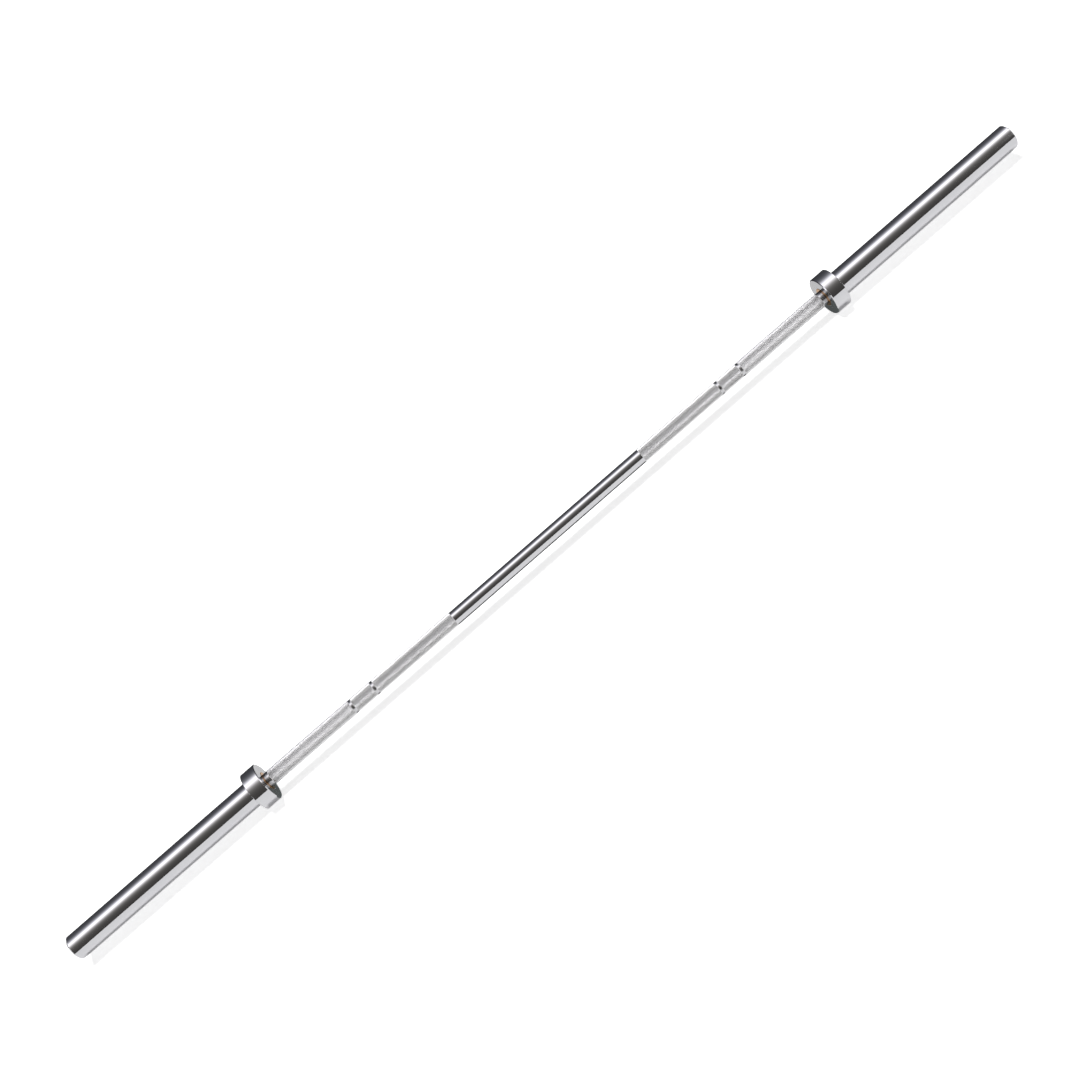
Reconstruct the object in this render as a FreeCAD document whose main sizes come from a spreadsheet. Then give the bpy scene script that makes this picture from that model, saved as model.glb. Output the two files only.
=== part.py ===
"""Barbell with two free-spinning sleeves. Its axis is X, with the origin on it at mid-length.

A turned steel shaft carries a sleeve at each end. Each sleeve is a tube with a collar shrunk on its inner
end, and runs on two bronze bushings. A shoulder on the shaft stops it inwards. A thrust washer, a backing
washer and a snap ring on the shaft stop it outwards. A cap closes the end, held by a snap ring in the tube.
"""

import FreeCAD, Part
import os

import Sketcher

# Driving sizes in millimetres: name, value, meaning
SIZES = (
    ("bar_length", 2200.0, "overall length over both sleeve ends"),
    ("collar_spacing", 1310.0, "between the inner faces of the two collars"),
    ("shaft_dia", 28.0, "smooth grip diameter"),
    ("knurl_rise", 0.15, "height of the knurled bands over the smooth shaft"),
    ("smooth_centre", 440.0, "length of the smooth middle"),
    ("inner_mark_spacing", 810.0, "between the two inner grip marks"),
    ("outer_mark_spacing", 910.0, "between the two outer grip marks"),
    ("mark_width", 5.0, "width of a smooth grip mark"),
    ("smooth_stub", 10.0, "smooth length of shaft beside each collar"),
    ("journal_dia", 25.0, "shaft diameter inside the sleeves"),
    ("journal_chamfer", 1.5, "chamfer on the shaft ends"),
    ("end_float", 0.3, "axial play of a sleeve at each of its two stops"),
    ("collar_dia", 77.0, "outside diameter of a collar"),
    ("collar_width", 30.0, "length of a collar along the bar"),
    ("collar_chamfer", 1.5, "chamfer on a collar's rim towards the grip"),
    ("stop_chamfer", 0.5, "chamfer on a collar's rim towards the plates"),
    ("lip_thickness", 6.0, "depth of the lip that covers the tube end"),
    ("lip_chamfer", 0.6, "chamfer on the mouth of the lip"),
    ("sleeve_dia", 49.0, "outside diameter that the plates slide on"),
    ("spigot_dia", 44.0, "turned-down end of the tube that the collar is shrunk on"),
    ("sleeve_bore", 29.0, "bore of the tube, which holds both bushings"),
    ("sleeve_chamfer", 2.5, "chamfer on the outer end of the tube"),
    ("mouth_chamfer", 0.5, "chamfer on the mouth of the cap seat"),
    ("bushing_length", 40.0, "length of each bushing in the tube"),
    ("bushing_clearance", 0.05, "radial running clearance on the journal"),
    ("bushing_chamfer", 0.8, "chamfer on the bushing bores"),
    ("flange_dia", 38.0, "diameter of the inner bushing's flange"),
    ("flange_clearance", 0.05, "radial clearance of the flange in the lip"),
    ("flange_rise", 0.5, "height of the flange over the collar's face"),
    ("flange_chamfer", 0.4, "chamfer on the flange rim"),
    ("pocket_dia", 36.0, "pocket in the tube for washers and snap ring"),
    ("pocket_depth", 14.0, "depth of that pocket behind the cap seat"),
    ("washer_clearance", 0.15, "radial clearance of the washers on the journal"),
    ("washer_rim_gap", 0.4, "radial gap from the washers to the pocket"),
    ("thrust_washer_thickness", 2.0, "bronze thrust washer"),
    ("backing_washer_thickness", 3.0, "steel washer behind the snap ring"),
    ("shaft_ring_thickness", 2.0, "snap ring on the shaft"),
    ("shaft_ring_groove", 0.6, "depth of its groove in the journal"),
    ("shaft_ring_wall", 2.6, "radial width of that ring"),
    ("shaft_ring_gap", 4.0, "opening of that ring"),
    ("shaft_ring_lug", 2.0, "radius of the ring's two lugs"),
    ("shaft_tail", 3.5, "shaft beyond the snap ring groove"),
    ("cap_bore", 40.0, "seat of the end cap in the tube"),
    ("cap_thickness", 5.0, "end cap"),
    ("cap_clearance", 0.1, "radial clearance of the cap in its seat"),
    ("cap_edge", 0.4, "chamfer on the cap's outer edge"),
    ("cap_dish_dia", 26.0, "shallow dish turned in the cap"),
    ("cap_dish_depth", 0.6, "depth of that dish"),
    ("seal_section", 2.0, "section of the o-ring round the cap"),
    ("seal_clearance", 0.05, "radial clearance each side of the o-ring"),
    ("seal_groove_width", 2.6, "width of the o-ring's groove"),
    ("end_ring_setback", 2.0, "depth of the cap's snap ring in the tube"),
    ("end_ring_thickness", 1.5, "snap ring that holds the cap"),
    ("end_ring_groove", 1.25, "depth of its groove in the tube"),
    ("end_ring_wall", 2.6, "radial width of that ring"),
    ("end_ring_gap", 6.0, "opening of that ring"),
    ("end_ring_lug", 2.2, "radius of the ring's two lugs"),
    ("ring_play", 0.1, "axial play of a snap ring in its groove"),
    ("ring_seat_clearance", 0.05, "radial clearance of a snap ring in its groove"),
    ("plier_hole_dia", 1.8, "holes for pliers in the lugs"),
)

# Turn about Z that carries a right-hand piece to its side of the bar
SIDES = {"right": 0.0, "left": 180.0}


class Length:
    """A length as a number, to draw with, and as the sheet formula that drives it."""

    def __init__(self, number, formula):
        self.number = number
        self.formula = formula

    def __add__(self, other):
        return Length(self.number + other.number, f"({self.formula} + {other.formula})")

    def __sub__(self, other):
        return Length(self.number - other.number, f"({self.formula} - {other.formula})")

    def __neg__(self):
        return Length(-self.number, f"-({self.formula})")

    def __truediv__(self, divisor):
        return Length(self.number / divisor, f"{self.formula} / {divisor}")


ZERO = Length(0.0, "0")

doc = FreeCAD.newDocument("barbell")
sheet = doc.addObject("Spreadsheet::Sheet", "sizes")
size = {}
for row, (alias, number, meaning) in enumerate(SIZES, start=1):
    sheet.set(f"A{row}", meaning)
    sheet.set(f"B{row}", str(number))
    sheet.setAlias(f"B{row}", alias)
    size[alias] = Length(number, f"sizes.{alias}")
doc.recompute()


# Places and radii that several pieces share

bar_end = size["bar_length"] / 2
collar_face = size["collar_spacing"] / 2
tube_start = collar_face + size["lip_thickness"]
flange_face = collar_face - size["flange_rise"]
shoulder = flange_face - size["end_float"]

end_ring_outer = bar_end - size["end_ring_setback"]
cap_outer = end_ring_outer - size["end_ring_thickness"]
cap_seat = cap_outer - size["cap_thickness"]
pocket_floor = cap_seat - size["pocket_depth"]
thrust_face = pocket_floor + size["end_float"]
backing_face = thrust_face + size["thrust_washer_thickness"]
shaft_ring_face = backing_face + size["backing_washer_thickness"]
shaft_groove_end = shaft_ring_face + size["shaft_ring_thickness"] + size["ring_play"]
shaft_end = shaft_groove_end + size["shaft_tail"]

shaft_radius = size["shaft_dia"] / 2
journal_radius = size["journal_dia"] / 2
sleeve_radius = size["sleeve_dia"] / 2
spigot_radius = size["spigot_dia"] / 2
bore_radius = size["sleeve_bore"] / 2
flange_radius = size["flange_dia"] / 2
pocket_radius = size["pocket_dia"] / 2
cap_bore_radius = size["cap_bore"] / 2
running_radius = journal_radius + size["bushing_clearance"]
shaft_groove_radius = journal_radius - size["shaft_ring_groove"]
end_groove_radius = cap_bore_radius + size["end_ring_groove"]
plier_radius = size["plier_hole_dia"] / 2


# Sketching

def new_sketch(body, plane_role, name):
    """A sketch on one of the body's own origin planes."""
    plane = next(part for part in body.Origin.OriginFeatures if part.Role == plane_role)
    sketch = body.newObject("Sketcher::SketchObject", name)
    sketch.AttachmentSupport = [(plane, "")]
    sketch.MapMode = "FlatFace"
    return sketch


def bind(sketch, length, kind, *references):
    """Adds a dimension to the sketch, driven by the sheet."""
    index = sketch.addConstraint(Sketcher.Constraint(kind, *references, length.number))
    name = f"size_{index}"
    sketch.renameConstraint(index, name)
    sketch.setExpression(f"Constraints.{name}", length.formula)


def bind_place(sketch, length, axis, edge, end):
    """Fixes one coordinate of a point: on the other axis when it is zero, and at its distance otherwise."""
    if length is ZERO:
        other_axis = -2 if axis == "X" else -1
        sketch.addConstraint(Sketcher.Constraint("PointOnObject", edge, end, other_axis))
    else:
        bind(sketch, length, f"Distance{axis}", -1, 1, edge, end)


def draw_outline(sketch, corners):
    """Closed outline through (along, out) corners, whose level and upright edges are held straight."""
    first = sketch.GeometryCount
    count = len(corners)
    points = [FreeCAD.Vector(along.number, out.number, 0) for along, out in corners]
    for k in range(count):
        sketch.addGeometry(Part.LineSegment(points[k], points[(k + 1) % count]), False)
    for k in range(count):
        sketch.addConstraint(Sketcher.Constraint("Coincident", first + k, 2, first + (k + 1) % count, 1))
    for coordinate, axis, straight in ((0, "X", "Vertical"), (1, "Y", "Horizontal")):
        for k in range(count):
            value = corners[k][coordinate]
            level_with_last = k > 0 and value.formula == corners[k - 1][coordinate].formula
            level_with_first = k == count - 1 and value.formula == corners[0][coordinate].formula
            if value is ZERO or not (level_with_last or level_with_first):
                bind_place(sketch, value, axis, first + k, 1)
            else:
                edge = first + k - 1 if level_with_last else first + k
                sketch.addConstraint(Sketcher.Constraint(straight, edge))


def draw_circle(sketch, radius, across=ZERO, up=ZERO):
    """Circle of that radius about the point (across, up)."""
    centre = FreeCAD.Vector(across.number, up.number, 0)
    edge = sketch.addGeometry(Part.Circle(centre, FreeCAD.Vector(0, 0, 1), radius.number), False)
    bind(sketch, radius, "Radius", edge)
    bind_place(sketch, across, "X", edge, 3)
    bind_place(sketch, up, "Y", edge, 3)


# Features

def turn(body, name, outlines):
    """Turns the outlines about the bar's axis."""
    sketch = new_sketch(body, "XY_Plane", f"{name}_outline")
    for corners in outlines:
        draw_outline(sketch, corners)
    feature = body.newObject("PartDesign::Revolution", name)
    feature.Profile = sketch
    feature.ReferenceAxis = (sketch, ["H_Axis"])
    feature.Angle = 360.0
    doc.recompute()


def pad(body, name, thickness, draw):
    """Adds what draw sketches across the bar, as thick as that along +X."""
    sketch = new_sketch(body, "YZ_Plane", f"{name}_outline")
    draw(sketch)
    feature = body.newObject("PartDesign::Pad", name)
    feature.Profile = sketch
    feature.setExpression("Length", thickness.formula)
    doc.recompute()


def cut_through(body, name, draw):
    """Cuts what draw sketches across the bar, right through the body along +X."""
    before = body.Shape.Volume
    sketch = new_sketch(body, "YZ_Plane", f"{name}_outline")
    draw(sketch)
    feature = body.newObject("PartDesign::Pocket", name)
    feature.Profile = sketch
    feature.Type = "ThroughAll"
    feature.Reversed = True
    doc.recompute()
    if body.Shape.Volume >= before:
        raise RuntimeError(f"{name} cut nothing from {body.Label}")


def place(piece, side, along, about_y=0.0):
    """Puts a right-hand piece at its distance along the bar, on that side."""
    where = along if side == "right" else -along
    turned = FreeCAD.Rotation(FreeCAD.Vector(0, 0, 1), SIDES[side])
    tipped = FreeCAD.Rotation(FreeCAD.Vector(0, 1, 0), about_y)
    piece.Placement = FreeCAD.Placement(FreeCAD.Vector(where.number, 0, 0), turned * tipped)
    piece.setExpression("Placement.Base.x", where.formula)


pieces = []


def new_body(label):
    """A body listed among the pieces that are written out."""
    body = doc.addObject("PartDesign::Body", label)
    pieces.append(body)
    return body


# Shaft

def knurled_bands():
    """Ends of the knurled bands on the right half, from the smooth middle out to the stub."""
    half_mark = size["mark_width"] / 2
    inner_mark = size["inner_mark_spacing"] / 2
    outer_mark = size["outer_mark_spacing"] / 2
    return (
        (size["smooth_centre"] / 2, inner_mark - half_mark),
        (inner_mark + half_mark, outer_mark - half_mark),
        (outer_mark + half_mark, collar_face - size["smooth_stub"]),
    )


def make_shaft():
    """Grip with a stepped journal at each end, and the knurled bands standing a little proud of it."""
    right = [
        (shoulder, shaft_radius),
        (shoulder, journal_radius),
        (shaft_ring_face, journal_radius),
        (shaft_ring_face, shaft_groove_radius),
        (shaft_groove_end, shaft_groove_radius),
        (shaft_groove_end, journal_radius),
        (shaft_end - size["journal_chamfer"], journal_radius),
        (shaft_end, journal_radius - size["journal_chamfer"]),
        (shaft_end, ZERO),
    ]
    left = [(-along, out) for along, out in reversed(right)]
    band_radius = shaft_radius + size["knurl_rise"]
    bands = []
    for start, end in knurled_bands():
        for near, far in ((start, end), (-end, -start)):
            bands.append([
                (near, journal_radius),
                (far, journal_radius),
                (far, band_radius),
                (near, band_radius),
            ])
    body = new_body("shaft")
    turn(body, "shaft_turned", [right + left])
    turn(body, "knurled_bands", bands)


# Sleeve

def make_collar(side):
    """Ring on the tube's spigot. Its lip covers the tube's end face and houses the bushing's flange."""
    radius = size["collar_dia"] / 2
    grip_chamfer = size["collar_chamfer"]
    stop_chamfer = size["stop_chamfer"]
    width = size["collar_width"]
    lip_radius = flange_radius + size["flange_clearance"]
    outline = [
        (ZERO, lip_radius + size["lip_chamfer"]),
        (size["lip_chamfer"], lip_radius),
        (size["lip_thickness"], lip_radius),
        (size["lip_thickness"], spigot_radius),
        (width, spigot_radius),
        (width, radius - stop_chamfer),
        (width - stop_chamfer, radius),
        (grip_chamfer, radius),
        (ZERO, radius - grip_chamfer),
    ]
    body = new_body(f"{side}_collar")
    turn(body, f"{side}_collar_turned", [outline])
    place(body, side, collar_face)


def make_sleeve_tube(side):
    """Tube with a spigot and shoulder for the collar, bored for bushings, washers, cap and snap ring."""
    end = bar_end - tube_start
    spigot_end = size["collar_width"] - size["lip_thickness"]
    groove_outer = end - size["end_ring_setback"] + size["ring_play"]
    groove_inner = cap_outer - tube_start
    outline = [
        (ZERO, bore_radius),
        (pocket_floor - tube_start, bore_radius),
        (pocket_floor - tube_start, pocket_radius),
        (cap_seat - tube_start, pocket_radius),
        (cap_seat - tube_start, cap_bore_radius),
        (groove_inner, cap_bore_radius),
        (groove_inner, end_groove_radius),
        (groove_outer, end_groove_radius),
        (groove_outer, cap_bore_radius),
        (end - size["mouth_chamfer"], cap_bore_radius),
        (end, cap_bore_radius + size["mouth_chamfer"]),
        (end, sleeve_radius - size["sleeve_chamfer"]),
        (end - size["sleeve_chamfer"], sleeve_radius),
        (spigot_end, sleeve_radius),
        (spigot_end, spigot_radius),
        (ZERO, spigot_radius),
    ]
    body = new_body(f"{side}_sleeve_tube")
    turn(body, f"{side}_sleeve_tube_turned", [outline])
    place(body, side, tube_start)


def make_inner_bushing(side):
    """Flanged bronze bushing. Its flange shows round the shaft and meets the shaft's shoulder."""
    flange = tube_start - flange_face
    length = flange + size["bushing_length"]
    outline = [
        (ZERO, running_radius + size["bushing_chamfer"]),
        (size["bushing_chamfer"], running_radius),
        (length - size["bushing_chamfer"], running_radius),
        (length, running_radius + size["bushing_chamfer"]),
        (length, bore_radius),
        (flange, bore_radius),
        (flange, flange_radius),
        (size["flange_chamfer"], flange_radius),
        (ZERO, flange_radius - size["flange_chamfer"]),
    ]
    body = new_body(f"{side}_inner_bushing")
    turn(body, f"{side}_inner_bushing_turned", [outline])
    place(body, side, flange_face)


def make_outer_bushing(side):
    """Plain bronze bushing, flush with the floor of the washer pocket."""
    length = size["bushing_length"]
    outline = [
        (ZERO, running_radius + size["bushing_chamfer"]),
        (size["bushing_chamfer"], running_radius),
        (length - size["bushing_chamfer"], running_radius),
        (length, running_radius + size["bushing_chamfer"]),
        (length, bore_radius),
        (ZERO, bore_radius),
    ]
    body = new_body(f"{side}_outer_bushing")
    turn(body, f"{side}_outer_bushing_turned", [outline])
    place(body, side, pocket_floor - length)


# Stops on the shaft

def make_washer(side, label, thickness, face):
    """Flat ring on the journal, inside the washer pocket."""
    def ring(sketch):
        draw_circle(sketch, pocket_radius - size["washer_rim_gap"])
        draw_circle(sketch, journal_radius + size["washer_clearance"])

    body = new_body(f"{side}_{label}")
    pad(body, f"{side}_{label}_ring", thickness, ring)
    place(body, side, face)


def draw_gap(sketch, gap, reach):
    """Slot from the ring's centre up past its lugs, which opens the ring at the top."""
    half = gap / 2
    draw_outline(sketch, [(-half, ZERO), (half, ZERO), (half, reach), (-half, reach)])


def make_snap_ring(side, label, thickness, inner, outer, gap, lug, lug_place, face):
    """Open spring ring with two lugs beside its gap, each with a hole for pliers."""
    lug_offset = gap / 2 + lug
    lug_reach = lug_place + lug + lug

    def lugs(radius):
        def draw(sketch):
            draw_circle(sketch, radius, -lug_offset, lug_place)
            draw_circle(sketch, radius, lug_offset, lug_place)
        return draw

    name = f"{side}_{label}"
    body = new_body(name)
    pad(body, f"{name}_disc", thickness, lambda sketch: draw_circle(sketch, outer))
    if lug_place.number > inner.number:
        pad(body, f"{name}_lugs", thickness, lugs(lug))
        cut_through(body, f"{name}_opening", lambda sketch: draw_circle(sketch, inner))
    else:
        cut_through(body, f"{name}_opening", lambda sketch: draw_circle(sketch, inner))
        pad(body, f"{name}_lugs", thickness, lugs(lug))
    cut_through(body, f"{name}_gap", lambda sketch: draw_gap(sketch, gap, lug_reach))
    cut_through(body, f"{name}_plier_holes", lugs(plier_radius))
    place(body, side, face)


def make_shaft_snap_ring(side):
    """Ring in the journal's groove, with its lugs outwards."""
    inner = shaft_groove_radius + size["ring_seat_clearance"]
    outer = inner + size["shaft_ring_wall"]
    make_snap_ring(side, "shaft_snap_ring", size["shaft_ring_thickness"], inner, outer,
                   size["shaft_ring_gap"], size["shaft_ring_lug"], outer, shaft_ring_face)


# End closure

def make_end_cap(side):
    """Disc with a groove round its rim for the o-ring and a shallow dish in its outer face."""
    rim = cap_bore_radius - size["cap_clearance"]
    seal_floor = cap_bore_radius - size["seal_section"] - size["seal_clearance"] - size["seal_clearance"]
    groove_start = (size["cap_thickness"] - size["seal_groove_width"]) / 2
    groove_end = groove_start + size["seal_groove_width"]
    dish_floor = size["cap_thickness"] - size["cap_dish_depth"]
    dish_radius = size["cap_dish_dia"] / 2
    outline = [
        (ZERO, ZERO),
        (dish_floor, ZERO),
        (dish_floor, dish_radius - size["cap_dish_depth"]),
        (size["cap_thickness"], dish_radius),
        (size["cap_thickness"], rim - size["cap_edge"]),
        (size["cap_thickness"] - size["cap_edge"], rim),
        (groove_end, rim),
        (groove_end, seal_floor),
        (groove_start, seal_floor),
        (groove_start, rim),
        (ZERO, rim),
    ]
    body = new_body(f"{side}_end_cap")
    turn(body, f"{side}_end_cap_turned", [outline])
    place(body, side, cap_seat)


def make_seal(side):
    """O-ring in the cap's groove."""
    section = size["seal_section"] / 2
    ring = cap_bore_radius - size["seal_clearance"] - section
    seal = doc.addObject("Part::Torus", f"{side}_end_cap_seal")
    seal.setExpression("Radius1", ring.formula)
    seal.setExpression("Radius2", section.formula)
    place(seal, side, cap_seat + size["cap_thickness"] / 2, about_y=90.0)
    pieces.append(seal)


def make_end_ring(side):
    """Ring in the tube's groove, with its lugs inwards."""
    outer = end_groove_radius - size["ring_seat_clearance"]
    inner = outer - size["end_ring_wall"]
    make_snap_ring(side, "end_cap_snap_ring", size["end_ring_thickness"], inner, outer,
                   size["end_ring_gap"], size["end_ring_lug"], inner - size["end_ring_lug"] / 2, cap_outer)


def check_all():
    """Stops before anything is written if an object failed or a piece isn't one sound solid."""
    doc.recompute()
    for item in doc.Objects:
        if "Invalid" in item.State or "Error" in item.State:
            raise RuntimeError(f"{item.Label} failed: {item.State}")
    for piece in pieces:
        if piece.Shape.isNull() or not piece.Shape.isValid() or len(piece.Shape.Solids) != 1:
            raise RuntimeError(f"{piece.Label} is not one valid solid")


make_shaft()
for side in SIDES:
    make_collar(side)
    make_sleeve_tube(side)
    make_inner_bushing(side)
    make_outer_bushing(side)
    make_washer(side, "thrust_washer", size["thrust_washer_thickness"], thrust_face)
    make_washer(side, "backing_washer", size["backing_washer_thickness"], backing_face)
    make_shaft_snap_ring(side)
    make_end_cap(side)
    make_seal(side)
    make_end_ring(side)
check_all()

os.makedirs("parts", exist_ok=True)
for piece in pieces:
    piece.Shape.exportStep(f"parts/{piece.Label}.step")
    print(f"{piece.Label}: {piece.Shape.Volume:.1f} mm3")
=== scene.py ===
"""Olympic barbell in hard chrome, lying on a pale studio floor.

Lengths are in metres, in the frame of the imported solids: X runs along the bar, Z is up, and the origin is
on the bar's axis at mid-length. The shaft, knurling, sleeve tubes, collars, inner bushings and end caps are
made here as fine surfaces. The other pieces, nearly all of them sealed inside the sleeves, are the solids
themselves with finishes of their own.
"""

import math

import bpy
import numpy as np
from mathutils import Matrix, Vector


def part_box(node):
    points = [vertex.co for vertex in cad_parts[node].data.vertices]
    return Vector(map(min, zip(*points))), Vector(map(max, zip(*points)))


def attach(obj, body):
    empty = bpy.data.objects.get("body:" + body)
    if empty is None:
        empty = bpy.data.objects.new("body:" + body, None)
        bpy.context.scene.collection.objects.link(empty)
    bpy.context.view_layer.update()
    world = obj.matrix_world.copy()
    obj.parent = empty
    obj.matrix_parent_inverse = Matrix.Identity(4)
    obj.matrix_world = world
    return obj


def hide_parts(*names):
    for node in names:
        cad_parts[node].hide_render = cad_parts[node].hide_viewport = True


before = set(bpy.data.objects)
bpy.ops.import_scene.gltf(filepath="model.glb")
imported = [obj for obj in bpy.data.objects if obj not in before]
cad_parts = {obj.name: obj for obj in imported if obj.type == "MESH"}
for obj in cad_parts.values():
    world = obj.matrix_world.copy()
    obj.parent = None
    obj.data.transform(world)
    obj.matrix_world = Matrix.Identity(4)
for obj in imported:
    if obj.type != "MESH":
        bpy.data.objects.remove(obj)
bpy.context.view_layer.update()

MM = 0.001
SIDES = {"left": -1.0, "right": 1.0}

# Places along the bar and radii of the right-hand end, read from the solids. A turned solid has its seam at
# +Y, so its box gives its true radius there.
collar_low, collar_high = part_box("right_collar")
tube_low, tube_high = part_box("right_sleeve_tube")
bushing_low, bushing_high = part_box("right_inner_bushing")
cap_low, cap_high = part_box("right_end_cap")
end_ring_low, end_ring_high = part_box("right_end_cap_snap_ring")
shaft_ring_low, shaft_ring_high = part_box("right_shaft_snap_ring")
shaft_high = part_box("shaft")[1]

COLLAR_RADIUS = collar_high.y
SLEEVE_RADIUS = tube_high.y
FLANGE_RADIUS = bushing_high.y
CAP_RADIUS = cap_high.y

# Shaft
GRIP_RADIUS = 14.0 * MM
SMOOTH_CENTRE = 440.0 * MM
MARK_SPACINGS = (810.0 * MM, 910.0 * MM)
MARK_WIDTH = 5.0 * MM
SMOOTH_STUB = 10.0 * MM
SHOULDER_GAP = 0.3 * MM
JOURNAL_RADIUS = 12.5 * MM
JOURNAL_CHAMFER = 1.5 * MM
RING_GROOVE_DEPTH = 0.6 * MM
RING_PLAY = 0.1 * MM

# Knurling: grooves cross the shaft both ways at the helix angle and leave rows of diamonds. The solids have
# a plain band at about the diamonds' mean height, and the crests rise above it.
CREST_RISE = 0.25 * MM
CREST_RADIUS = shaft_high.y + CREST_RISE
DIAMONDS_ROUND = 70
HELIX_ANGLE = math.radians(30.0)
STEPS_PER_DIAMOND = 4
CREST_STEP = 2
FALL_STEP = 3
RUN_OUT_STEPS = 2

# A cut's depth, and the height of the bend in a diamond's slope as a share of that depth
DEEP_CUT = {"depth": 0.455 * MM, "shoulder": 0.58}
SHALLOW_CUT = {"depth": 0.38 * MM, "shoulder": 0.57}
BAND_CUTS = {"inner": DEEP_CUT, "middle": DEEP_CUT, "outer": SHALLOW_CUT}

# The shaft is a little thinner under a knurled band, and the band's ends reach down into it
BED_RADIUS = 13.5 * MM
BED_SLOPE = 0.5 * MM
FOOT_RADIUS = 13.3 * MM

# Sleeve, collar, bushing and cap
COLLAR_CHAMFER = 1.5 * MM
STOP_CHAMFER = 0.5 * MM
LIP_CLEARANCE = 0.05 * MM
LIP_CHAMFER = 0.6 * MM
SPIGOT_RADIUS = 22.0 * MM
BORE_RADIUS = 14.5 * MM
POCKET_RADIUS = 18.0 * MM
POCKET_DEPTH = 14.0 * MM
CAP_SEAT_RADIUS = 20.0 * MM
END_GROOVE_DEPTH = 1.25 * MM
SLEEVE_CHAMFER = 2.5 * MM
MOUTH_CHAMFER = 0.5 * MM
RUNNING_RADIUS = 12.55 * MM
BUSHING_CHAMFER = 0.8 * MM
FLANGE_CHAMFER = 0.4 * MM
CAP_EDGE = 0.4 * MM
DISH_RADIUS = 13.0 * MM
DISH_DEPTH = 0.6 * MM
SEAL_GROOVE_WIDTH = 2.6 * MM
SEAL_GROOVE_DEPTH = 2.0 * MM

# Turned edges
EDGE_RADIUS = 0.25 * MM
FINE_EDGE = 0.1 * MM
ARC_STEPS = 4
SPOKES = 192

# A face is cut square if this share of its direction lies along the bar
SQUARE_FACE = 0.99


# Turned surfaces

def add_piece(name, points, faces, outward=None):
    """Mesh object from arrays of points and faces.

    It is smooth where outward directions are given, and flat otherwise.
    """
    mesh = bpy.data.meshes.new(name)
    corners = np.concatenate([face.ravel() for face in faces])
    sides = np.concatenate([np.full(len(face), face.shape[1]) for face in faces])
    mesh.vertices.add(len(points))
    mesh.vertices.foreach_set("co", points.ravel())
    mesh.loops.add(len(corners))
    mesh.loops.foreach_set("vertex_index", corners)
    mesh.polygons.add(len(sides))
    mesh.polygons.foreach_set("loop_start", np.cumsum(sides) - sides)
    mesh.polygons.foreach_set("use_smooth", np.full(len(sides), outward is not None))
    mesh.update(calc_edges=True)
    if outward is not None:
        mesh.normals_split_custom_set_from_vertices(outward)
    piece = bpy.data.objects.new(name, mesh)
    bpy.context.scene.collection.objects.link(piece)
    return piece


def rounded(corners, radius):
    """Outline whose corners are arcs of that radius.

    Along an arc the heading goes evenly from that of the edge before the corner to that of the edge after
    it. The arc's centre is one radius to the side that it bends to, and each point is one radius from it,
    square to the heading. With the material on the right of the path, that direction to the left points out
    of the material.
    """
    edges = np.roll(corners, -1, axis=0) - corners
    leaving = np.arctan2(edges[:, 1], edges[:, 0])
    arriving = np.roll(leaving, 1)
    bend = (leaving - arriving + np.pi) % (2 * np.pi) - np.pi
    heading = arriving[:, None] + bend[:, None] * np.linspace(0, 1, ARC_STEPS + 1)
    leftward = np.stack((-np.sin(heading), np.cos(heading)), axis=-1)
    forward = np.stack((np.cos(arriving), np.sin(arriving)), axis=-1)
    start = corners - radius * np.tan(np.abs(bend) / 2)[:, None] * forward
    swing = radius * np.sign(bend)[:, None]
    centre = start + swing * leftward[:, 0]
    return centre[:, None] - swing[:, None] * leftward, leftward


def turned(name, corners, radius):
    """Turned surface: an outline of (along, out) corners, rounded and carried round the bar's axis.

    At the turn t a point of the outline is at x = along, y = out sin t, z = out cos t, and its outward
    direction turns with it. An outline that starts and ends on the axis is closed there by fans, and any
    other joins its last ring to its first.
    """
    corners = np.array(corners)
    following = np.roll(corners, -1, axis=0)
    if np.sum(corners[:, 0] * following[:, 1] - following[:, 0] * corners[:, 1]) > 0:
        corners = corners[::-1]
    on_axis = corners[0, 1] == 0
    outline, leftward = rounded(corners, radius)
    off_axis = slice(1, -1) if on_axis else slice(None)
    turn = np.arange(SPOKES) * 2 * np.pi / SPOKES

    def carried(flat):
        along, out = flat[off_axis].reshape(-1, 2, 1).transpose(1, 0, 2)
        return np.stack(np.broadcast_arrays(along, out * np.sin(turn), out * np.cos(turn)), axis=-1)

    points, outward = carried(outline), carried(leftward)
    index = np.arange(points.shape[0] * SPOKES).reshape(-1, SPOKES)
    here, ahead = (index[:-1], index[1:]) if on_axis else (index, np.roll(index, -1, axis=0))
    ring = np.stack((here, ahead, np.roll(ahead, -1, axis=1), np.roll(here, -1, axis=1)), axis=-1)
    points, outward, faces = points.reshape(-1, 3), outward.reshape(-1, 3), [ring.reshape(-1, 4)]
    if on_axis:
        first, last = index[0], index[-1]
        near_pole, far_pole = np.full(SPOKES, len(points)), np.full(SPOKES, len(points) + 1)
        faces.append(np.stack((near_pole, first, np.roll(first, -1)), axis=-1))
        faces.append(np.stack((far_pole, np.roll(last, -1), last), axis=-1))
        points = np.concatenate((points, [(corners[0, 0], 0, 0), (corners[-1, 0], 0, 0)]))
        outward = np.concatenate((outward, [(-1, 0, 0), (1, 0, 0)]))
    return add_piece(name, points, faces, outward)


def sided(corners, side):
    """The right-hand outline, or its mirror image for the left."""
    return [(SIDES[side] * along, out) for along, out in corners]


def knurled_bands():
    """Ends of the knurled bands on the right half, from the smooth middle out to the stub."""
    inner_mark, outer_mark = (spacing / 2 for spacing in MARK_SPACINGS)
    half = MARK_WIDTH / 2
    return {
        "inner": (SMOOTH_CENTRE / 2, inner_mark - half),
        "middle": (inner_mark + half, outer_mark - half),
        "outer": (outer_mark + half, collar_low.x - SMOOTH_STUB),
    }


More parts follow.
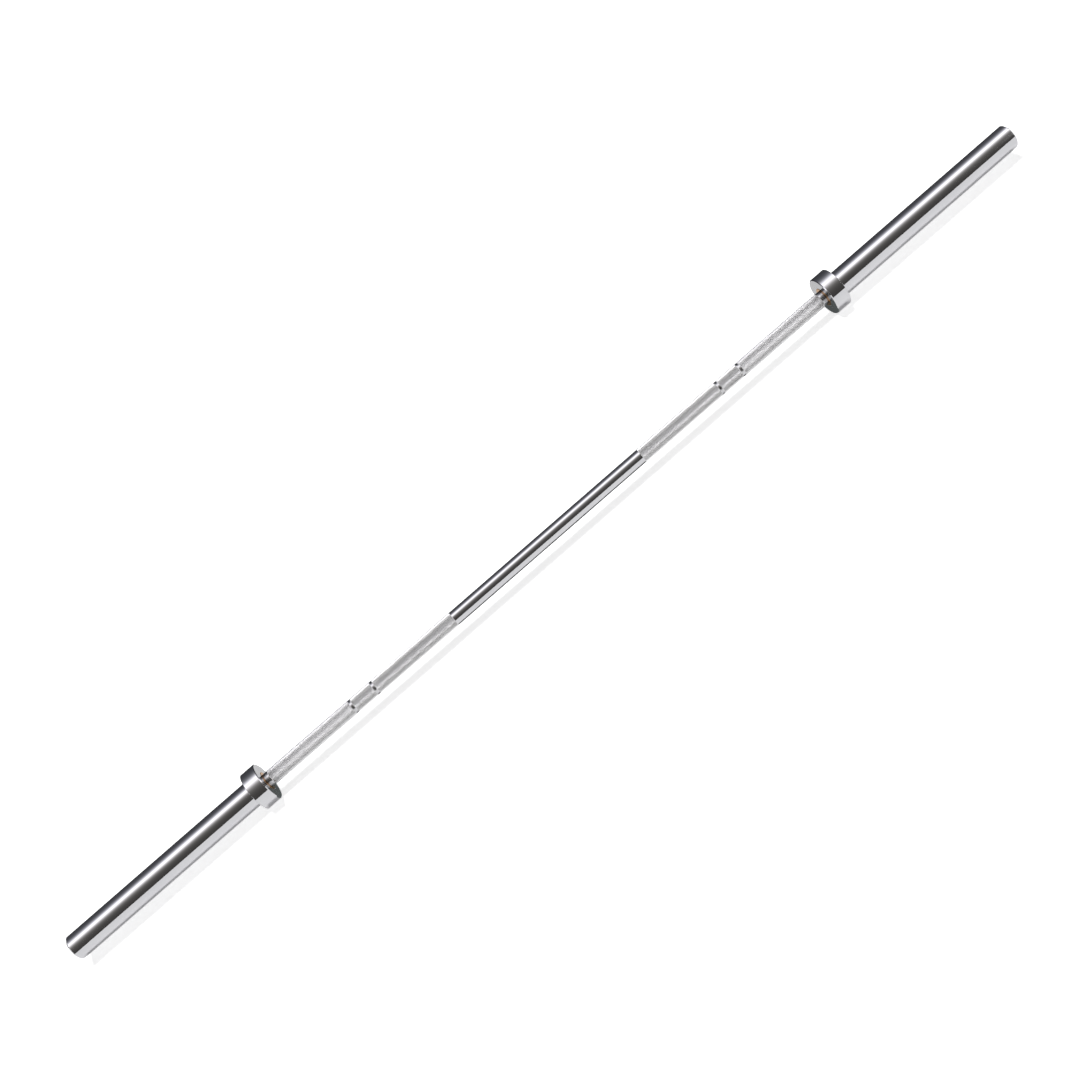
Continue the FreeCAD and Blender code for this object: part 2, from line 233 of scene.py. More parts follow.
def knurled(name, start, end, depth, shoulder):
    """Band of raised diamonds on a grid of quarter steps along and round the bar.

    The sum and the difference of the two step counts are the phases of the two sets of grooves. Each phase
    lifts the surface from the groove at 0 over a shoulder at 1 to the crest at 2 and back down, and the
    lower of the two lifts is the height, which gives four-sided diamonds with a bent slope. The band fades
    out at both ends, and a foot row at each end closes it underneath. Each square of the grid is split along
    the groove or bend that crosses it.
    """
    step_round = 2 * math.pi * GRIP_RADIUS / DIAMONDS_ROUND / STEPS_PER_DIAMOND
    steps = round((end - start) / (step_round / math.tan(HELIX_ANGLE)))
    row = np.arange(steps + 1)[:, None]
    column = np.arange(STEPS_PER_DIAMOND * DIAMONDS_ROUND)[None, :]
    one_way = (row + column) % STEPS_PER_DIAMOND
    other_way = (row - column) % STEPS_PER_DIAMOND
    lift = np.array((0.0, shoulder, 1.0, shoulder))
    height = np.minimum(lift[one_way], lift[other_way])
    height = height * np.clip(np.minimum(row, steps - row) / RUN_OUT_STEPS, 0, 1)
    radius = CREST_RADIUS - depth * (1 - height)
    radius = np.pad(radius, ((1, 1), (0, 0)), constant_values=FOOT_RADIUS)
    along = np.pad(np.linspace(start, end, steps + 1), 1, mode="edge")[:, None]
    turn = column * 2 * np.pi / column.size
    points = np.stack(np.broadcast_arrays(along, radius * np.sin(turn), radius * np.cos(turn)), axis=-1)

    index = np.arange(radius.size).reshape(radius.shape)
    ahead = np.roll(index, -1, axis=0)
    beside, beyond = np.roll(index, -1, axis=1), np.roll(ahead, -1, axis=1)
    falling = (one_way == FALL_STEP) | (other_way == CREST_STEP)
    falling = np.pad(falling[:-1], ((1, 2), (0, 0)))
    first = np.stack((index, ahead, np.where(falling, beside, beyond)), axis=-1)
    second = np.stack((np.where(falling, ahead, index), beyond, beside), axis=-1)
    return add_piece(name, points.reshape(-1, 3), [first.reshape(-1, 3), second.reshape(-1, 3)])


def shaft_outline():
    """Shaft with a shallow bed under each knurled band, and a journal with a snap ring groove at each end."""
    right = []
    for start, end in knurled_bands().values():
        right += [
            (start, GRIP_RADIUS),
            (start + BED_SLOPE, BED_RADIUS),
            (end - BED_SLOPE, BED_RADIUS),
            (end, GRIP_RADIUS),
        ]
    shoulder = bushing_low.x - SHOULDER_GAP
    groove_radius = JOURNAL_RADIUS - RING_GROOVE_DEPTH
    groove_end = shaft_ring_high.x + RING_PLAY
    right += [
        (shoulder, GRIP_RADIUS),
        (shoulder, JOURNAL_RADIUS),
        (shaft_ring_low.x, JOURNAL_RADIUS),
        (shaft_ring_low.x, groove_radius),
        (groove_end, groove_radius),
        (groove_end, JOURNAL_RADIUS),
        (shaft_high.x - JOURNAL_CHAMFER, JOURNAL_RADIUS),
        (shaft_high.x, JOURNAL_RADIUS - JOURNAL_CHAMFER),
        (shaft_high.x, 0.0),
    ]
    left = [(-along, out) for along, out in reversed(right)]
    return left + right


def collar_outline():
    """Ring on the tube's spigot, whose lip houses the bushing's flange."""
    lip = FLANGE_RADIUS + LIP_CLEARANCE
    return [
        (collar_low.x, lip + LIP_CHAMFER),
        (collar_low.x + LIP_CHAMFER, lip),
        (tube_low.x, lip),
        (tube_low.x, SPIGOT_RADIUS),
        (collar_high.x, SPIGOT_RADIUS),
        (collar_high.x, COLLAR_RADIUS - STOP_CHAMFER),
        (collar_high.x - STOP_CHAMFER, COLLAR_RADIUS),
        (collar_low.x + COLLAR_CHAMFER, COLLAR_RADIUS),
        (collar_low.x, COLLAR_RADIUS - COLLAR_CHAMFER),
    ]


def tube_outline():
    """Tube with a spigot and shoulder for the collar, bored for bushings, washers, cap and snap ring."""
    pocket_floor = cap_low.x - POCKET_DEPTH
    groove_end = end_ring_high.x + RING_PLAY
    groove_radius = CAP_SEAT_RADIUS + END_GROOVE_DEPTH
    return [
        (tube_low.x, BORE_RADIUS),
        (pocket_floor, BORE_RADIUS),
        (pocket_floor, POCKET_RADIUS),
        (cap_low.x, POCKET_RADIUS),
        (cap_low.x, CAP_SEAT_RADIUS),
        (end_ring_low.x, CAP_SEAT_RADIUS),
        (end_ring_low.x, groove_radius),
        (groove_end, groove_radius),
        (groove_end, CAP_SEAT_RADIUS),
        (tube_high.x - MOUTH_CHAMFER, CAP_SEAT_RADIUS),
        (tube_high.x, CAP_SEAT_RADIUS + MOUTH_CHAMFER),
        (tube_high.x, SLEEVE_RADIUS - SLEEVE_CHAMFER),
        (tube_high.x - SLEEVE_CHAMFER, SLEEVE_RADIUS),
        (collar_high.x, SLEEVE_RADIUS),
        (collar_high.x, SPIGOT_RADIUS),
        (tube_low.x, SPIGOT_RADIUS),
    ]


def bushing_outline():
    """Flanged bronze bushing, whose flange shows round the shaft."""
    return [
        (bushing_low.x, RUNNING_RADIUS + BUSHING_CHAMFER),
        (bushing_low.x + BUSHING_CHAMFER, RUNNING_RADIUS),
        (bushing_high.x - BUSHING_CHAMFER, RUNNING_RADIUS),
        (bushing_high.x, RUNNING_RADIUS + BUSHING_CHAMFER),
        (bushing_high.x, BORE_RADIUS),
        (tube_low.x, BORE_RADIUS),
        (tube_low.x, FLANGE_RADIUS),
        (bushing_low.x + FLANGE_CHAMFER, FLANGE_RADIUS),
        (bushing_low.x, FLANGE_RADIUS - FLANGE_CHAMFER),
    ]


def cap_outline():
    """Disc with a groove round its rim for the o-ring and a shallow dish in its outer face."""
    middle = (cap_low.x + cap_high.x) / 2
    seal_floor = CAP_RADIUS - SEAL_GROOVE_DEPTH
    dish_floor = cap_high.x - DISH_DEPTH
    return [
        (dish_floor, 0.0),
        (dish_floor, DISH_RADIUS - DISH_DEPTH),
        (cap_high.x, DISH_RADIUS),
        (cap_high.x, CAP_RADIUS - CAP_EDGE),
        (cap_high.x - CAP_EDGE, CAP_RADIUS),
        (middle + SEAL_GROOVE_WIDTH / 2, CAP_RADIUS),
        (middle + SEAL_GROOVE_WIDTH / 2, seal_floor),
        (middle - SEAL_GROOVE_WIDTH / 2, seal_floor),
        (middle - SEAL_GROOVE_WIDTH / 2, CAP_RADIUS),
        (cap_low.x, CAP_RADIUS),
        (cap_low.x, 0.0),
    ]


# Finishes

# Octaves of noise, and the shares between which it mostly lies
NOISE_DETAIL = 3.0
NOISE_LOW = 0.3
NOISE_HIGH = 0.7

# Length after which a wave texture of scale 1 repeats, and the octaves of its wobble
WAVE_PERIOD = math.pi / 10
WAVE_DETAIL = 1.0

# The mix node's colour sockets, by number because its sockets for plain values have the same names
MIX_FIRST = 6
MIX_SECOND = 7
MIX_RESULT = 2


def linear(colour):
    """Linear colour from an sRGB hex value, by the standard sRGB curve."""
    shares = np.array([int(colour[k:k + 2], 16) for k in (1, 3, 5)]) / 255
    level = np.where(shares <= 0.04045, shares / 12.92, ((shares + 0.055) / 1.055) ** 2.4)
    return (*level.tolist(), 1.0)


def add(tree, kind, fields=(), inputs=()):
    """Adds a shader node and sets its fields. Its inputs take values, or links from other nodes."""
    made = tree.nodes.new(kind)
    for field, value in dict(fields).items():
        setattr(made, field, value)
    for socket, value in dict(inputs).items():
        if isinstance(value, bpy.types.NodeSocket):
            tree.links.new(value, made.inputs[socket])
        else:
            made.inputs[socket].default_value = value
    return made


def new_material(name):
    """An empty node material, and its tree."""
    material = bpy.data.materials.new(name)
    material.use_nodes = True
    material.node_tree.nodes.clear()
    return material, material.node_tree


def show(tree, shader):
    """Makes a shader the surface of its material."""
    add(tree, "ShaderNodeOutputMaterial", inputs={"Surface": shader.outputs[0]})


def summed(tree, first, second):
    """The light of two shaders together."""
    return add(tree, "ShaderNodeAddShader", inputs={0: first.outputs[0], 1: second.outputs[0]})


def finish_material(tree, inputs):
    """Closes a material with a surface shader that has those inputs."""
    show(tree, add(tree, "ShaderNodeBsdfPrincipled", inputs=inputs))


def on_piece(tree):
    """Place on the piece, in metres."""
    return add(tree, "ShaderNodeTexCoord").outputs["Object"]


def calc(tree, operation, *values):
    """Result of one step of arithmetic on one or two values."""
    return add(tree, "ShaderNodeMath", {"operation": operation}, dict(enumerate(values))).outputs[0]


def ramp(tree, value, start, end, low, high, shape="LINEAR"):
    """Goes from low to high while the value goes from start to end, and no further."""
    return add(tree, "ShaderNodeMapRange", {"interpolation_type": shape}, {
        "Value": value, "From Min": start, "From Max": end, "To Min": low, "To Max": high}).outputs[0]


def streaked(tree, along_mm, round_mm):
    """Noise from 0 to 1 whose marks are that long along the bar and that long round it."""
    across = 1 / (round_mm * MM)
    scale = (1 / (along_mm * MM), across, across)
    scaled = add(tree, "ShaderNodeMapping", inputs={"Vector": on_piece(tree), "Scale": scale})
    return add(tree, "ShaderNodeTexNoise", inputs={
        "Vector": scaled.outputs[0], "Scale": 1.0, "Detail": NOISE_DETAIL}).outputs["Fac"]


def rings(tree, feed_mm, wobble):
    """Lathe marks round the bar's axis, one feed apart and a little unsteady."""
    return add(tree, "ShaderNodeTexWave", {"wave_type": "RINGS", "rings_direction": "X"}, {
        "Vector": on_piece(tree),
        "Scale": WAVE_PERIOD / (feed_mm * MM),
        "Distortion": wobble,
        "Detail": WAVE_DETAIL,
    }).outputs["Fac"]


def cells(tree, size_mm):
    """Distance from the middle of the nearest of many cells of that size."""
    return add(tree, "ShaderNodeTexVoronoi", inputs={
        "Vector": on_piece(tree), "Scale": 1 / (size_mm * MM)}).outputs["Distance"]


def spread(tree, share, low, high):
    """A share in the range where noise mostly lies, spread from low to high."""
    return ramp(tree, share, NOISE_LOW, NOISE_HIGH, low, high)


def between(tree, share, dark, pale):
    """Colour between two sRGB hex values."""
    return add(tree, "ShaderNodeMix", {"data_type": "RGBA"}, {
        "Factor": share, MIX_FIRST: linear(dark), MIX_SECOND: linear(pale)}).outputs[MIX_RESULT]


def raised(tree, height, depth_mm):
    """Surface direction for marks of that depth."""
    return add(tree, "ShaderNodeBump", inputs={
        "Height": height, "Distance": depth_mm * MM, "Strength": 1.0}).outputs[0]


def polished_chrome():
    """Hard chrome on ground and buffed steel: a mirror, a little cool, with faint rings from the belt.

    Real belt marks are about 0.1 mm apart and don't show, so they are drawn at 0.9 mm.
    """
    material, tree = new_material("hard_chrome_buffed")
    belt = streaked(tree, along_mm=0.9, round_mm=45.0)
    haze = streaked(tree, along_mm=120.0, round_mm=30.0)
    finish_material(tree, {
        "Base Color": between(tree, haze, "#C7C7CB", "#D2D2D4"),
        "Metallic": 1.0,
        "Roughness": spread(tree, belt, 0.045, 0.085),
        "Normal": raised(tree, belt, depth_mm=0.002),
    })
    return material


def faced_chrome():
    """Hard chrome on faces cut square on the lathe: greyer and softer than the buffed rounds beside them.

    The tool leaves rings about 0.12 mm apart, drawn at 0.5 mm so that they show.
    """
    material, tree = new_material("hard_chrome_faced")
    marks = rings(tree, feed_mm=0.5, wobble=0.4)
    haze = streaked(tree, along_mm=15.0, round_mm=15.0)
    finish_material(tree, {
        "Base Color": between(tree, haze, "#A0A0A3", "#B0B0B2"),
        "Metallic": 1.0,
        "Roughness": spread(tree, haze, 0.18, 0.26),
        "Normal": raised(tree, marks, depth_mm=0.004),
    })
    return material


def satin_chrome():
    """Hard chrome on the grip marks and stubs, turned and not buffed: a soft mirror that blurs the light.

    The tool's feed of about 0.1 mm doesn't show, so it is drawn at 0.5 mm.
    """
    material, tree = new_material("hard_chrome_satin_turned")
    feed = streaked(tree, along_mm=0.5, round_mm=30.0)
    finish_material(tree, {
        "Base Color": between(tree, feed, "#BEBEC1", "#CBCBCD"),
        "Metallic": 1.0,
        "Roughness": spread(tree, feed, 0.21, 0.28),
        "Normal": raised(tree, feed, depth_mm=0.004),
    })
    return material


def knurled_chrome(name, crest_roughness, groove_roughness):
    """Hard chrome over cut knurling: bright facets, duller down in the grooves, where no buff reaches.

    The height in a groove comes from the distance to the bar's axis. The coat's grain is too fine to show,
    so it is drawn at 0.5 mm.
    """
    material, tree = new_material(name)
    across_bar = (0.0, 1.0, 1.0)
    square = add(tree, "ShaderNodeVectorMath", {"operation": "MULTIPLY"}, {0: on_piece(tree), 1: across_bar})
    out = add(tree, "ShaderNodeVectorMath", {"operation": "LENGTH"}, {0: square.outputs[0]}).outputs["Value"]
    height = ramp(tree, out, CREST_RADIUS - DEEP_CUT["depth"], CREST_RADIUS, 0.0, 1.0)
    grain = streaked(tree, along_mm=0.5, round_mm=0.5)
    finish_material(tree, {
        "Base Color": between(tree, height, "#E0E0E1", "#EBEBEC"),
        "Metallic": 1.0,
        "Roughness": spread(tree, height, groove_roughness, crest_roughness),
        "Normal": raised(tree, grain, depth_mm=0.01),
    })
    return material


def turned_chrome():
    """Bright chrome on a lathe-turned cap: feed marks that fan the highlight out from the centre.

    The feed is about 0.15 mm a turn, drawn at 0.6 mm so that it shows.
    """
    material, tree = new_material("chrome_turned")
    marks = rings(tree, feed_mm=0.6, wobble=0.6)
    haze = streaked(tree, along_mm=9.0, round_mm=9.0)
    finish_material(tree, {
        "Base Color": between(tree, haze, "#BDBEC2", "#CFCFD1"),
        "Metallic": 1.0,
        "Roughness": spread(tree, haze, 0.16, 0.24),
        "Normal": raised(tree, marks, depth_mm=0.012),
    })
    return material


def sintered_bronze():
    """Oil-filled bronze pressed from powder and faced: tan brown and oily bright, with dark pores.

    Real pores are under 0.1 mm and don't show, so they are drawn in cells of 0.6 mm.
    """
    material, tree = new_material("bronze_sintered")
    pores = cells(tree, size_mm=0.6)
    blotch = streaked(tree, along_mm=3.0, round_mm=3.0)
    shade = calc(tree, "MULTIPLY", pores, blotch)
    finish_material(tree, {
        "Base Color": between(tree, spread(tree, shade, 0.0, 1.0), "#A87C4A", "#DCAD76"),
        "Metallic": 1.0,
        "Roughness": spread(tree, blotch, 0.16, 0.26),
        "Normal": raised(tree, pores, depth_mm=0.015),
    })
    return material


def ground_steel():
    """Surface-ground steel: grey, with straight fine scratches.

    Real scratches are under 0.1 mm wide, drawn at 0.3 mm so that they show.
    """
    material, tree = new_material("steel_ground")
    scratch = streaked(tree, along_mm=0.3, round_mm=6.0)
    finish_material(tree, {
        "Base Color": between(tree, scratch, "#8E8F92", "#AFB0B3"),
        "Metallic": 1.0,
        "Roughness": spread(tree, scratch, 0.25, 0.40),
        "Normal": raised(tree, scratch, depth_mm=0.005),
    })
    return material


def phosphated_steel():
    """Spring steel under a phosphate coat: dark grey crystals that hold oil, so a soft dark sheen.

    Real crystals are far under 0.1 mm, drawn in cells of 0.25 mm so that they show.
    """
    material, tree = new_material("spring_steel_phosphated")
    crystals = cells(tree, size_mm=0.25)
    oil = streaked(tree, along_mm=4.0, round_mm=4.0)
    finish_material(tree, {
        "Base Color": between(tree, oil, "#2B2C2E", "#4A4B4E"),
        "Metallic": 0.7,
        "Roughness": spread(tree, oil, 0.38, 0.55),
        "Normal": raised(tree, crystals, depth_mm=0.01),
    })
    return material


def nitrile_rubber():
    """Moulded nitrile rubber: near black, faintly dusty, with a dull wide sheen."""
    material, tree = new_material("nitrile_rubber_moulded")
    dust = streaked(tree, along_mm=0.8, round_mm=0.8)
    finish_material(tree, {
        "Base Color": between(tree, dust, "#161617", "#262627"),
        "Roughness": spread(tree, dust, 0.55, 0.70),
        "IOR": 1.52,
        "Normal": raised(tree, dust, depth_mm=0.01),
    })
    return material


buffed_finish = polished_chrome()
faced_finish = faced_chrome()
bright_knurl = knurled_chrome("hard_chrome_knurled_bright", crest_roughness=0.23, groove_roughness=0.31)
satin_knurl = knurled_chrome("hard_chrome_knurled_satin", crest_roughness=0.42, groove_roughness=0.50)
KNURL_FINISHES = {"inner": bright_knurl, "middle": bright_knurl, "outer": satin_knurl}
cap_finish = turned_chrome()
bronze_finish = sintered_bronze()
spring_finish = phosphated_steel()


# The bar's pieces

def fit(piece, body, slot, finish, *nodes):
    """Gives a piece its finish and the body it moves with, and hides the solids it stands for.

    The slot is not used.
    """
    piece.data.materials.append(finish)
    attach(piece, body)
    if nodes:
        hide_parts(*nodes)


def lengthwise(piece, field):
    """The part along the bar of each face's normal or centre, without its sign."""
    vectors = np.empty(3 * len(piece.data.polygons))
    piece.data.polygons.foreach_get(field, vectors)
    return np.abs(vectors[::3])


def refinish(piece, finish, chosen):
    """Gives the chosen faces of a piece a finish of their own."""
    piece.data.materials.append(finish)
    piece.data.polygons.foreach_set("material_index", chosen.astype(int))


shaft = turned("shaft_turned", shaft_outline(), FINE_EDGE)
fit(shaft, "shaft", "shaft_chrome", buffed_finish, "shaft")

# The grip marks and stubs lie between one knurled band's end and the next one's start, or the collar
band_starts, band_ends = zip(*knurled_bands().values())
satin_ends = (*band_starts[1:], collar_low.x)
face_places = lengthwise(shaft, "center")[:, None]
on_satin = ((face_places > band_ends) & (face_places < satin_ends)).any(axis=1)
refinish(shaft, satin_chrome(), on_satin)

for side, sign in SIDES.items():
    body = f"{side}_sleeve"
    for band, ends in knurled_bands().items():
        start, end = sorted(sign * band_end for band_end in ends)
        piece = knurled(f"{side}_knurl_{band}", start, end, **BAND_CUTS[band])
        fit(piece, "shaft", "shaft_chrome", KNURL_FINISHES[band])
    for part, outline, edge, slot, finish, node in (
        ("tube_buffed", tube_outline(), FINE_EDGE, "sleeve_chrome", buffed_finish, "sleeve_tube"),
        ("collar_buffed", collar_outline(), EDGE_RADIUS, "sleeve_chrome", buffed_finish, "collar"),
        ("bushing_pressed", bushing_outline(), FINE_EDGE, "bushing_bronze", bronze_finish, "inner_bushing"),
        ("cap_turned", cap_outline(), FINE_EDGE, "cap_chrome", cap_finish, "end_cap"),
    ):
        piece = turned(f"{side}_{part}", sided(outline, side), edge)
        fit(piece, body, slot, finish, f"{side}_{node}")
        if finish is buffed_finish:
            refinish(piece, faced_finish, lengthwise(piece, "normal") > SQUARE_FACE)

SOLID_FINISHES = {
    "outer_bushing": bronze_finish,
    "thrust_washer": bronze_finish,
    "backing_washer": ground_steel(),
    "shaft_snap_ring": spring_finish,
    "end_cap_snap_ring": spring_finish,
    "end_cap_seal": nitrile_rubber(),
}
for side in SIDES:
    for part, finish in SOLID_FINISHES.items():
        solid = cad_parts[f"{side}_{part}"]
        for solid_slot in solid.material_slots:
            solid_slot.material = finish


# Studio: a white floor and one wide soft light. In the metal they are joined by a dim tent with a glow along
# its ridge, and by dark cards on the floor that are painted shadow.

FLOOR_REACH = 60.0
FLOOR_PAPER = "#E6E6E6"
FLOOR_GLOW_SEEN = 0.75
FLOOR_GLOW_IN_METAL = 0.30

# Tent: angles are about the bar's axis, from straight up, and less than zero towards the camera
TENT_RADIUS = 4.0
TENT_FOOT_BEHIND = 0.16
TENT_HALF_LENGTH = 40.0
TENT_ROWS = 97
TENT_COLUMNS = 41
TENT_DIM = 0.055
TENT_WARM = "#FFFAF4"
TENT_COOL = "#F1F3FF"
TINT_REACH = math.radians(45.0)
TENT_BRIGHT = 1.9
TENT_PEAK = math.radians(-1.5)
TENT_WIDTH = math.radians(17.0)
GLOW_POWER = 3.0

# Strip by the ridge and screens in front, both beyond the bar's ends
STRIP_LEVEL = 7.6
STRIP_MIDDLE = math.radians(-4.0)
STRIP_WIDTH = math.radians(6.0)
SCREEN_LEVEL = 3.2
SCREEN_MIDDLE = math.radians(-57.0)
SCREEN_WIDTH = math.radians(10.0)
SCREEN_START = 2.9
SCREEN_FULL = 3.9
SCREEN_END = 6.5

# Painted shadow seen only in the metal: dark cards beside the collars, and the runner under the shaft
CARD_LENGTH = 32.0 * MM
CARD_FRONT = -34.0 * MM
CARD_BACK = 44.0 * MM
CARD_LIFT = 0.4 * MM
SHADOW_CARD_MOTTLE = 20.0 * MM
SHADOW_CARD_DARK = "#666B6A"
SHADOW_CARD_PALE = "#727776"
RUNNER_FRONT = -18.0 * MM
RUNNER_BACK = 45.0 * MM
SHADOW_RUNNER_DARK = "#5C5C5C"
SHADOW_RUNNER_PALE = "#666666"

LAMP_ANGLE = math.radians(20.0)
LAMP_TILT = math.radians(6.0)
LAMP_STRENGTH = 2.58
WORLD_WHITE = "#FFFFFF"
WORLD_FILL = 0.1


def grid_faces(rows, columns):
    """Squares between neighbouring points of a grid."""
    index = np.arange(rows * columns).reshape(rows, columns)
    square = np.stack((index[:-1, :-1], index[1:, :-1], index[1:, 1:], index[:-1, 1:]), axis=-1)
    return square.reshape(-1, 4)


def level_sheet(name, places_along, places_across, height):
    """Flat sheet: every place along the bar is paired with every place across it, all at one height."""
    along, across = np.meshgrid(places_along, places_across, indexing="ij")
    points = np.stack((along, across, np.full_like(along, height)), axis=-1)
    return add_piece(name, points.reshape(-1, 3), [grid_faces(*along.shape)])


def only_in_metal(piece):
    """Hides a piece from the camera and from dull surfaces, and leaves it no shadow."""
    piece.visible_camera = False
    piece.visible_diffuse = False
    piece.visible_shadow = False


def seen(tree, by_camera, in_metal, otherwise):
    """A level for rays from the camera, one for rays off metal or through glass, and one for the rest."""
    path = add(tree, "ShaderNodeLightPath").outputs
    mirrored = calc(tree, "MAXIMUM", path["Is Glossy Ray"], path["Is Transmission Ray"])
    level = ramp(tree, mirrored, 0.0, 1.0, otherwise, in_metal)
    return ramp(tree, path["Is Camera Ray"], 0.0, 1.0, level, by_camera)


def studio_floor():
    """White paper floor under the collars.

    A faint glow lifts it to white, and the light on it keeps the bar's shadow.
    """
    material, tree = new_material("studio_paper")
    paper = add(tree, "ShaderNodeBsdfDiffuse", inputs={"Color": linear(FLOOR_PAPER)})
    level = seen(tree, FLOOR_GLOW_SEEN, FLOOR_GLOW_IN_METAL, otherwise=0.0)
    glow = add(tree, "ShaderNodeEmission", inputs={"Strength": level})
    show(tree, summed(tree, paper, glow))
    reach = (-FLOOR_REACH, 0.0, FLOOR_REACH)
    floor = level_sheet("studio_floor", reach, reach, -COLLAR_RADIUS)
    floor.data.materials.append(material)


def hump(tree, value, peak, width, level):
    """A level at the peak that falls with a power of the distance from it, to half at that width."""
    distance = calc(tree, "ABSOLUTE", calc(tree, "SUBTRACT", value, peak))
    fall = calc(tree, "POWER", calc(tree, "DIVIDE", distance, width), GLOW_POWER)
    return calc(tree, "DIVIDE", level, calc(tree, "ADD", fall, 1.0))


def studio_tent():
    """Dim half-round tent along the bar, seen only in the metal.

    At the turn t, from the front foot over the ridge to the back foot, a point is at y = -reach cos t and
    z = reach sin t. The reach is even from the front foot to the ridge. From there it shrinks by an even
    ratio, so that the back foot stands close behind the bar.

    The cloth is dim, a little warm in front and cool behind, with the soft light's glow along its ridge.
    Beyond the bar's ends it also has bright screens in front and a bright strip by the ridge. They are there
    for the knurling, whose tilted facets look along the bar.
    """
    material, tree = new_material("studio_tent")
    place = add(tree, "ShaderNodeSeparateXYZ", inputs={"Vector": on_piece(tree)}).outputs
    angle = calc(tree, "ARCTAN2", place["Y"], place["Z"])
    coolness = ramp(tree, angle, -TINT_REACH, TINT_REACH, 0.0, 1.0)
    ridge = hump(tree, angle, TENT_PEAK, TENT_WIDTH, TENT_BRIGHT)
    cloth = add(tree, "ShaderNodeEmission", inputs={
        "Color": between(tree, coolness, TENT_WARM, TENT_COOL),
        "Strength": calc(tree, "ADD", ridge, TENT_DIM),
    })
    front = hump(tree, angle, SCREEN_MIDDLE, SCREEN_WIDTH, SCREEN_LEVEL)
    strip = hump(tree, angle, STRIP_MIDDLE, STRIP_WIDTH, STRIP_LEVEL)
    full = calc(tree, "ADD", front, strip)
    from_middle = calc(tree, "ABSOLUTE", place["X"])
    rise = ramp(tree, from_middle, SCREEN_START, SCREEN_FULL, 0.0, full, "SMOOTHSTEP")
    level = ramp(tree, from_middle, SCREEN_FULL, SCREEN_END, rise, 0.0, "SMOOTHSTEP")
    screens = add(tree, "ShaderNodeEmission", inputs={"Strength": level})
    show(tree, summed(tree, cloth, screens))

    front_foot = -math.asin(COLLAR_RADIUS / TENT_RADIUS)
    back_foot = math.pi + math.asin(COLLAR_RADIUS / TENT_FOOT_BEHIND)
    turn = np.linspace(front_foot, back_foot, TENT_ROWS)[:, None]
    past_ridge = np.clip((turn - math.pi / 2) / (back_foot - math.pi / 2), 0, 1)
    reach = TENT_RADIUS * (TENT_FOOT_BEHIND / TENT_RADIUS) ** past_ridge
    along = np.linspace(-TENT_HALF_LENGTH, TENT_HALF_LENGTH, TENT_COLUMNS)[None, :]
    points = np.stack(np.broadcast_arrays(along, -reach * np.cos(turn), reach * np.sin(turn)), axis=-1)
    tent = add_piece("studio_tent", points.reshape(-1, 3), [grid_faces(TENT_ROWS, TENT_COLUMNS)])
    tent.data.materials.append(material)
    only_in_metal(tent)


def painted_shadow_cards():
    """Painted shadow on the floor that only the metal sees: a dark card by each collar, a runner under the
    shaft.

    The dark cards paint shade into the lower half of the collars' faces, and the runner paints a shadow line
    along the shaft's lower edge.
    """
    edge = collar_low.x - CARD_LENGTH
    card_sides = (CARD_FRONT, CARD_BACK)
    runner_sides = (RUNNER_FRONT, RUNNER_BACK)
    for name, ends, sides, dark, pale in (
        ("left", (-collar_low.x, -edge), card_sides, SHADOW_CARD_DARK, SHADOW_CARD_PALE),
        ("right", (edge, collar_low.x), card_sides, SHADOW_CARD_DARK, SHADOW_CARD_PALE),
        ("runner", (-edge, edge), runner_sides, SHADOW_RUNNER_DARK, SHADOW_RUNNER_PALE),
    ):
        material, tree = new_material(f"painted_shadow_card_{name}")
        grain = add(tree, "ShaderNodeTexNoise", inputs={"Vector": on_piece(tree), "Scale": 1 / SHADOW_CARD_MOTTLE})
        # The cards' dark, faintly mottled grey is painted shadow
        colour = between(tree, grain.outputs["Fac"], dark, pale)
        show(tree, add(tree, "ShaderNodeEmission", inputs={"Color": colour}))
        card = level_sheet(f"painted_shadow_card_{name}", ends, sides, CARD_LIFT - COLLAR_RADIUS)
        card.data.materials.append(material)
        only_in_metal(card)


def studio_world():
    """White behind everything that is seen, and a low fill for dull surfaces."""
    world = bpy.data.worlds.new("studio_world")
    world.use_nodes = True
    tree = world.node_tree
    tree.nodes.clear()
    level = seen(tree, by_camera=1.0, in_metal=1.0, otherwise=WORLD_FILL)
    background = add(tree, "ShaderNodeBackground", inputs={"Color": linear(WORLD_WHITE), "Strength": level})
    add(tree, "ShaderNodeOutputWorld", inputs={"Surface": background.outputs[0]})
    bpy.context.scene.world = world


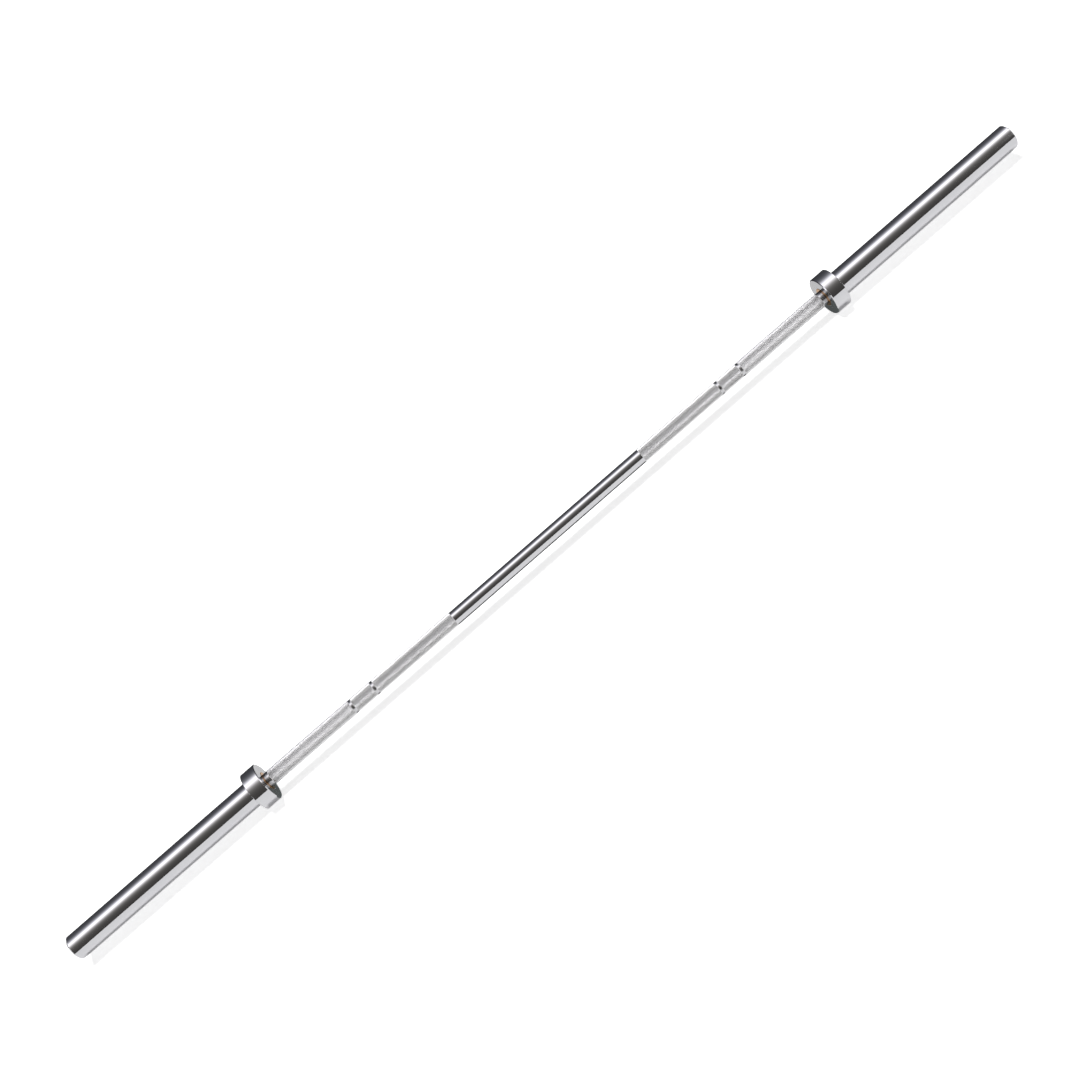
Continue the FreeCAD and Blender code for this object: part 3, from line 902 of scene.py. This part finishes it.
def studio_lamp():
    """Wide soft sun, tilted a little from behind the bar and even all over the floor.

    The metal shows the tent's glow in its place.
    """
    light = bpy.data.lights.new("studio_lamp", "SUN")
    light.angle = LAMP_ANGLE
    light.energy = LAMP_STRENGTH
    lamp = bpy.data.objects.new("studio_lamp", light)
    lamp.rotation_euler = (-LAMP_TILT, 0.0, 0.0)
    lamp.visible_glossy = False
    bpy.context.scene.collection.objects.link(lamp)


# Camera: the bar runs up to the right across the square frame, and its left end is a little nearer

FRAME_PIXELS = 1080.0
FOCAL_PIXELS = 1384.0
SENSOR_MM = 36.0
CAMERA_DISTANCE = 2.46
CAMERA_YAW = math.radians(1.61)
CAMERA_ELEVATION = math.radians(36.0)
BAR_SLOPE = math.radians(41.01)
BAR_CENTRE = (7.75, 2.9)


def photo_camera():
    """Camera that looks down at the bar's middle, rolled so that the bar has its slope in the picture.

    BAR_CENTRE is where the bar's middle lies, in pixels right of and above the middle of the picture.
    """
    level = math.cos(CAMERA_YAW)
    ahead = Vector((
        math.sin(CAMERA_YAW), level * math.cos(CAMERA_ELEVATION), -level * math.sin(CAMERA_ELEVATION)))
    along = (Vector((1, 0, 0)) - ahead.x * ahead).normalized()
    above = (-ahead).cross(along)
    right = math.cos(BAR_SLOPE) * along - math.sin(BAR_SLOPE) * above
    up = math.sin(BAR_SLOPE) * along + math.cos(BAR_SLOPE) * above
    lens = bpy.data.cameras.new("photo_camera")
    lens.sensor_width = SENSOR_MM
    lens.lens = FOCAL_PIXELS / FRAME_PIXELS * SENSOR_MM
    lens.shift_x, lens.shift_y = (-pixels / FRAME_PIXELS for pixels in BAR_CENTRE)
    camera = bpy.data.objects.new("photo_camera", lens)
    turn = Matrix((right, up, -ahead)).transposed()
    camera.matrix_world = Matrix.Translation(-CAMERA_DISTANCE * ahead) @ turn.to_4x4()
    bpy.context.scene.collection.objects.link(camera)
    bpy.context.scene.camera = camera


studio_floor()
studio_tent()
painted_shadow_cards()
studio_world()
studio_lamp()
photo_camera()
bpy.context.scene.view_settings.view_transform = "Standard"
